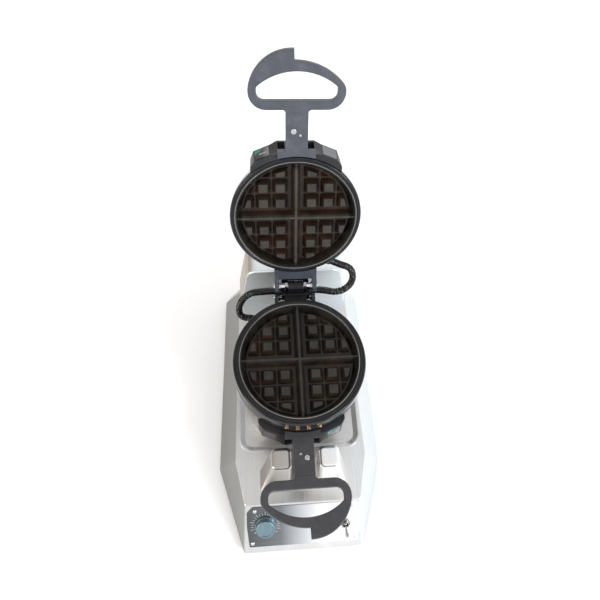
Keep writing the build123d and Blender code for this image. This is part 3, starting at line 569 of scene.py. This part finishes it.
def joined(name, parts, material):
    """One flat-shaded piece from several sets of vertices and faces."""
    vertices, faces = [], []
    for part_vertices, part_faces in parts:
        base = len(vertices)
        vertices += part_vertices
        faces += [tuple(i + base for i in face) for face in part_faces]
    return new_piece(name, vertices, faces, material, smooth=False)


# ---------------------------------------------------------------- conduits
CONDUIT_R = 6.0 * MM
CONDUIT_ROWS, CONDUIT_SIDES = 360, 40
PLEAT_PITCH = 5.6 * MM
PLEAT_STEPS = (0.55, 1.45)  # a pleat's pitch varies between these shares of the plain one
PLEAT_DEPTH = 0.26  # of the conduit's radius
PLEAT_SKEW = 0.16  # of a pitch
PLEAT_SEED = 7
CREASE_DEPTH = 0.045  # of the conduit's radius
SLEEVE_R = 0.985  # of the conduit's radius, where it is smooth
BEND_FROM, BEND_RANGE = 6, 34  # radians a metre: pleats begin at the first, and deepen over the second
BEND_WINDOW = 8  # rows on each side that a bend is averaged over


def centreline(points, count):
    """Evenly spaced points along a smooth line with these control points."""
    curve = bpy.data.curves.new("route", "CURVE")
    curve.dimensions = "3D"
    curve.resolution_u = 24
    spline = curve.splines.new("NURBS")
    spline.points.add(len(points) - 1)
    for point, place in zip(spline.points, points):
        point.co = (*place, 1)
    spline.order_u = 3
    spline.use_endpoint_u = True
    holder = bpy.data.objects.new("route", curve)
    line = bpy.data.meshes.new_from_object(holder)
    path = [v.co.copy() for v in line.vertices]
    bpy.data.objects.remove(holder)
    lengths = [0.0]
    for a, b in zip(path, path[1:]):
        lengths.append(lengths[-1] + (b - a).length)
    even, i = [], 0
    for step in range(count):
        want = lengths[-1] * step / (count - 1)
        while i < len(path) - 2 and lengths[i + 1] < want:
            i += 1
        share = (want - lengths[i]) / max(lengths[i + 1] - lengths[i], 1e-9)
        even.append(path[i].lerp(path[i + 1], min(1, share)))
    return even, lengths[-1]


def wrinkled_tube(name, points, radius, material):
    """A sleeved conduit: smooth where it runs straight, pleated across where it bends."""
    rows, sides = CONDUIT_ROWS, CONDUIT_SIDES
    path, length = centreline(points, rows)
    heading = [(path[min(i + 1, rows - 1)] - path[max(i - 1, 0)]).normalized() for i in range(rows)]
    bend = [0.0] * rows
    for i in range(2, rows - 2):
        bend[i] = heading[i - 2].angle(heading[i + 2]) / ((path[i + 2] - path[i - 2]).length)
    near = [bend[max(0, i - BEND_WINDOW) : i + BEND_WINDOW + 1] for i in range(rows)]
    bend = [sum(values) / len(values) for values in near]
    side = heading[0].cross(Vector((0, 0, 1))).normalized()
    draw = random.Random(PLEAT_SEED)
    phase, vertices, faces, bends = 0.0, [], [], []
    for i, (spot, ahead) in enumerate(zip(path, heading)):
        side = (side - ahead * side.dot(ahead)).normalized()
        other = ahead.cross(side)
        inner = Vector()
        if 0 < i < rows - 1:
            inner = heading[min(i + 3, rows - 1)] - heading[max(i - 3, 0)]
        inner = inner.normalized() if inner.length > 1e-6 else side
        phase += length / (rows - 1) / PLEAT_PITCH * draw.uniform(*PLEAT_STEPS)
        amount = min(1.0, max(0.0, bend[i] - BEND_FROM) / BEND_RANGE)
        bends += [amount] * sides
        for k in range(sides):
            angle = 2 * math.pi * k / sides
            out = side * math.cos(angle) + other * math.sin(angle)
            skew = PLEAT_SKEW * noise.noise(spot * 90 + out * 0.8)
            pleat = abs(math.sin(math.pi * (phase + skew)))
            depth = PLEAT_DEPTH * amount * (0.6 + 0.4 * out.dot(inner))
            crease = noise.noise(spot * 210 + out * 1.3) * CREASE_DEPTH * (0.25 + amount)
            reach = radius * (SLEEVE_R - depth * (1 - pleat) ** 1.6 + crease * 0.6)
            vertices.append(spot + out * min(reach, radius * 1.02))
            if i:
                a, b = i * sides + k, i * sides + (k + 1) % sides
                faces.append((a - sides, b - sides, b, a))
    faces.append(tuple(range(sides - 1, -1, -1)))
    faces.append(tuple(range((rows - 1) * sides, rows * sides)))
    tube = new_piece(name, vertices, faces, material)
    carry(tube, BEND, bends)
    return tube


def route(*points):
    """Points of a conduit's route, in millimetres, y counted from the plates' centre."""
    return [Vector((x * MM, plate.y + y * MM, z * MM)) for x, y, z in points]


def make_conduits(material):
    """The two conduits from the hub to the lids. Each bends between the rotor and its lid."""
    right = route((28.5, 128, 177), (43, 128, 177), (74, 124, 170), (97, 134, 185),
                  (95.5, 151, 206), (69.75, 157.13, 212.24), (57.8, 160.09, 218.47))
    left = route((-28.5, 128, 177), (-61, 128, 177), (-81, 124, 174.5), (-95, 110.5, 162),
                 (-93, 99, 141), (-69.75, 98.7, 135.7), (-57.8, 91.8, 135.7))
    for name, points, lid in (("upper", right, "upper_lid"), ("lower", left, "lower_lid")):
        tube = wrinkled_tube(f"{name}_conduit_sleeve", points, CONDUIT_R, material)
        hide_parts(f"{name}_conduit")
        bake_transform(tube)


# ---------------------------------------------------------------- rims
def ring_face(edge):
    """A ring's face from its bore outwards: a lip, a groove, a land, a fine groove and a sloped outer edge."""
    return [(LIP_R, 0.9), (91.6, 0.0), (92.5, 0.0), (92.9, 0.8), (93.7, 0.8), (94.1, 0.25),
            (edge - 4.4, 0.25), (edge - 4.2, 0.75), (edge - 3.7, 0.75), (edge - 3.5, 0.35),
            (edge - 1.7, 0.55), (edge, 2.3)]


# the radius of each corner of that face, in millimetres, and of a rim's outer back edge
FACE_TURNS = [0.5, 0.5, 0.5, 0.3, 0.3, 0.3, 0.1, 0.1, 0.1, 0.3, 1.2, 1.2]
BACK_TURN = 0.3


def make_rims(material, band_material):
    """The lids' rims and the centre plate's band, with their lips and grooves."""
    for name, place in (("upper", UPPER), ("lower", LOWER)):
        profile = [(LIP_R, RIM_DEPTH), *ring_face(RIM_R), (RIM_R, RIM_DEPTH)]
        rim = lathe(f"{name}_rim_ring", rounded(profile, [0, *FACE_TURNS, BACK_TURN]), place, material)
        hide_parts(f"{name}_lid_rim")
        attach(rim, f"{name}_lid")
    half = (band_high.z - band_low.z) / 2 / MM
    face = ring_face((band_high.x - band_low.x) / 2 / MM)
    top = [(radius, half - depth) for radius, depth in face]
    bottom = [(radius, depth - half) for radius, depth in reversed(face)]
    turns = [*FACE_TURNS, *reversed(FACE_TURNS)]
    band = lathe("centre_ring", rounded([*top, *bottom][::-1], turns[::-1]), CENTRE, band_material)
    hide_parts("centre_band")
    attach(band, "rotor")


def put_finishes(finishes):
    """Give each CAD node its own finish, or the finish of its material slot."""
    for part in frame["record"]["subparts"]:
        name = part["node"]
        node = NODES[name]
        node.data.materials.clear()
        node.data.materials.append(finishes.get(name, finishes.get(part["material_slot"])))


# ---------------------------------------------------------------- dial marks
TICKS, FIRST_TICK, TICK_STEP, LONG_EVERY = 19, -108, 12, 3  # angles in degrees, clockwise from the top
TICK_FROM, SHORT_TO, LONG_TO = 18.2 * MM, 22.6 * MM, 24.5 * MM  # from the knob's axis
TICK_HALF = 0.32 * MM  # half a tick's width
DOT_ANGLE, DOT_AT, DOT_R, DOT_SIDES = 126, 20.5 * MM, 0.9 * MM, 16
INK_T = 0.12 * MM


def dial_point(angle, radius):
    """A point of the dial, in the trim's own plane, from its angle clockwise from the top."""
    turn = math.radians(angle)
    return radius * math.sin(turn), radius * math.cos(turn)


def make_dial_marks(material):
    """Printed ticks round the thermostat knob, a long one at every third, with a dot at each end."""
    across = Vector((1, 0, 0))
    face = Matrix((across, PANEL_UP, KNOB_AXIS)).transposed().to_4x4()
    face = Matrix.Translation(KNOB + KNOB_AXIS * TRIM_T) @ face
    parts = []
    for i in range(TICKS):
        angle = FIRST_TICK + TICK_STEP * i
        x0, y0 = dial_point(angle, TICK_FROM)
        x1, y1 = dial_point(angle, LONG_TO if i % LONG_EVERY == 0 else SHORT_TO)
        side_x, side_y = dial_point(angle + 90, TICK_HALF)
        outline = [(x0 - side_x, y0 - side_y), (x1 - side_x, y1 - side_y),
                   (x1 + side_x, y1 + side_y), (x0 + side_x, y0 + side_y)]
        parts.append(prism(outline[::-1], face, INK_T))
    for angle in (-DOT_ANGLE, DOT_ANGLE):
        x, y = dial_point(angle, DOT_AT)
        turns = [t * math.pi / (DOT_SIDES / 2) for t in range(DOT_SIDES)]
        ring = [(x + DOT_R * math.cos(turn), y + DOT_R * math.sin(turn)) for turn in turns]
        parts.append(prism(ring, face, INK_T))
    marks = joined("dial_marks", parts, material)
    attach(marks, "base")


# ---------------------------------------------------------------- the whole model
def make_finishes():
    """The finish of each material slot, and of the nodes whose finish depends on where they lie; several of these
    carry painted light and shade.
    """
    up, down = Vector((0, 0, 1)), Vector((0, 0, -1))
    lid_in = UPPER.to_3x3() @ up
    # painted light: the cradle and the base run darker at their left ends and paler to the right
    cradle_painted_light_fade = ("front_cradle", (0.0, (0.42, 0.40, 0.38)), (0.40, (0.62, 0.60, 0.58)), (0.58, 1.0))
    base_painted_light_fade = ("base_housing", (0.10, 0.76), (0.45, 0.82), (0.72, 0.90), (0.92, (0.86, 0.885, 0.90)))
    return {
        # base: painted shade on its left faces, a pale cool painted tint on its right ones, and painted
        # reflections in broad warm streaks
        "base_steel": brushed_steel("base_steel", (0.97, 0.965, 0.95), (700, 9, 300), painted_reflection_bands=(55, 2, 2),
                                    sides=((0.28, 0.28, 0.265), (0.78, 0.81, 0.82)), across=base_painted_light_fade),
        # tower: painted shade on its left faces and a paler painted tint on its right ones
        "tower_steel": brushed_steel("tower_steel", (0.88, 0.93, 0.97), (9, 500, 700),
                                     sides=((0.40, 0.35, 0.28), (0.74, 0.78, 0.80))),
        # cradle: painted reflections in broad warm streaks and the painted light across it
        "cradle_steel": brushed_steel("cradle_steel", (0.97, 0.97, 0.98), (500, 500, 8), low=0.26, high=0.38,
                                      painted_reflection_bands=(120, 6, 6), across=cradle_painted_light_fade),
        # tray: painted shade on the faces turned to either side
        "tray_steel": brushed_steel("tray_steel", (0.72, 0.71, 0.70), (12, 600, 300), low=0.24, high=0.38,
                                    sides=((0.34, 0.36, 0.40), (0.40, 0.40, 0.40))),
        "lid_steel": brushed_steel("lid_steel", (0.72, 0.70, 0.68), (300, 300, 300)),
        "plain_steel": brushed_steel("plain_steel", (0.45, 0.45, 0.45), (200, 200, 200), low=0.35, high=0.5),
        "bright_steel": polished_steel("bright_steel", (0.80, 0.80, 0.82), 0.14),
        "switch_chrome": polished_steel("switch_chrome", (0.34, 0.32, 0.30), 0.12),
        # painted shade: the rivets and hinge nuts on the two lids are shaded copies, the lower lid's darker
        "upper_lid_handle_rivets": polished_steel("rivets_upper_painted_shade", (0.62, 0.61, 0.60), 0.12),
        "lower_lid_handle_rivets": polished_steel("rivets_lower_painted_shade", (0.50, 0.49, 0.47), 0.12),
        "upper_lid_hinge_nuts": polished_steel("nuts_upper_painted_shade", (0.46, 0.46, 0.48), 0.12),
        "lower_lid_hinge_nuts": polished_steel("nuts_lower_painted_shade", (0.34, 0.34, 0.35), 0.16),
        "panel_metal": panel_finish("panel_metal", trim_low.x, trim_high.x),
        "knob_metal": turned("knob_metal", (0.22, 0.31, 0.34)),
        "screw_brass": polished_steel("screw_brass", (0.56, 0.38, 0.21), 0.14),
        "bush_brass": polished_steel("bush_brass", (0.72, 0.52, 0.28), 0.28),
        # the rims and the band carry painted highlights on their lips and near their outer edges
        "rim_black": ring_enamel("rim_black", RIM_R, (0.010, 0.011, 0.013)),
        "band_black": ring_enamel("band_black", (band_high.x - band_low.x) / 2 / MM, (0.008, 0.008, 0.009)),
        # painted shade: the grids' tops are scaled darker on the centre plate's upper grid and a little on the
        # upper lid's
        "centre_grid_upper": grid_coating("grid_centre_upper", (plate.x, plate.y, band_high.z), down,
                                          warm=0.25, tops=0.5),
        "centre_grid_lower": grid_coating("grid_centre_lower", (plate.x, plate.y, band_low.z), up,
                                          warm=0.3),
        "upper_lid_grid": grid_coating("grid_upper_lid", UPPER.translation, lid_in,
                                       warm=0.8, tops=0.85),
        "lower_lid_grid": grid_coating("grid_lower_lid", LOWER.translation, down, warm=0.45),
        "bracket_black": enamel("bracket_black", (0.016, 0.016, 0.017), (0.030, 0.030, 0.031), 0.34),
        "handle_phenolic": phenolic("handle_phenolic", (0.028, 0.028, 0.031), (0.046, 0.046, 0.050)),
        # painted light: the upper lid's handle is a paler, bluer copy of the lower one's phenolic
        "upper_lid_handle": phenolic("handle_upper_painted_light", (0.050, 0.054, 0.066), (0.078, 0.083, 0.100)),
        "hinge_metal": enamel("hinge_metal", (0.036, 0.042, 0.054), (0.062, 0.068, 0.082), 0.26),
        "black_iron": moulded("black_iron", (0.006, 0.006, 0.007), 0.28),
        "conduit_sleeve": sleeve("conduit_sleeve"),
        "gland_plastic": moulded("gland_plastic", (0.013, 0.013, 0.014), 0.36),
        "inner_plastic": moulded("inner_plastic", (0.22, 0.20, 0.17), 0.5),
        "foot_rubber": moulded("foot_rubber", (0.015, 0.015, 0.015), 0.7),
        "upper_lid_label_plate": label_enamel("label_upper", "upper_lid_label_plate", lid_in),
        "lower_lid_label_plate": label_enamel("label_lower", "lower_lid_label_plate", up),
        # painted shade: the lower lid's side plate is a darker copy of the side metal
        "lower_lid_side_plate": brushed_steel("side_metal_lower_painted_shade", (0.10, 0.10, 0.10), (600, 600, 9)),
        "side_metal": brushed_steel("side_metal", (0.23, 0.24, 0.25), (600, 600, 9)),
    }


LIGHTS_AIM = (0, 0, 0.2)
FLOOR_SIZE = 12  # metres


def make_studio():
    """A pale floor and soft lights: warm from the left, cool from the right."""
    bpy.ops.mesh.primitive_plane_add(size=FLOOR_SIZE)
    floor = bpy.context.object
    floor.name = "floor"
    ground = Finish("floor", 0.9, 0.8)
    ground.color(ground.ramp(ground.noise(ground.place, 0.6), (0.3, 0.90), (0.7, 0.92)))
    floor.data.materials.append(ground.material)
    make_world([(0.0, (0.46, 0.42, 0.36)), (0.30, (0.76, 0.74, 0.71)), (0.55, (0.90, 0.92, 0.95)),
                (1.0, (1.10, 1.14, 1.20))], Vector((0.8, -0.6, 0.0)))
    for name, place, size, power, color in (
        ("key", (1.7, -1.6, 1.5), (0.9, 0.9), 40, (0.94, 0.97, 1.0)),
        ("fill", (-1.9, -0.9, 1.3), (0.7, 1.2), 24, (1.0, 0.96, 0.91)),
        ("back", (0.3, 2.1, 1.3), (1.6, 0.5), 14, (1.0, 1.0, 1.0)),
    ):
        make_area_light(name, place, LIGHTS_AIM, size, power, color)
    bpy.context.scene.view_settings.view_transform = "Standard"


finishes = make_finishes()
put_finishes(finishes)
make_conduits(finishes["conduit_sleeve"])
make_rims(finishes["rim_black"], finishes["band_black"])
print_white = Finish("print_white", 0.62, 0.5).material
make_dial_marks(print_white)
make_studio()
make_camera(Vector((plate.x - 48.8 * MM, plate.y - 308.2 * MM, 1023.3 * MM)),
            elevation=60.123, yaw=10.442, roll=7.390, lens=34.19, shift=(-0.0280, -0.0538))
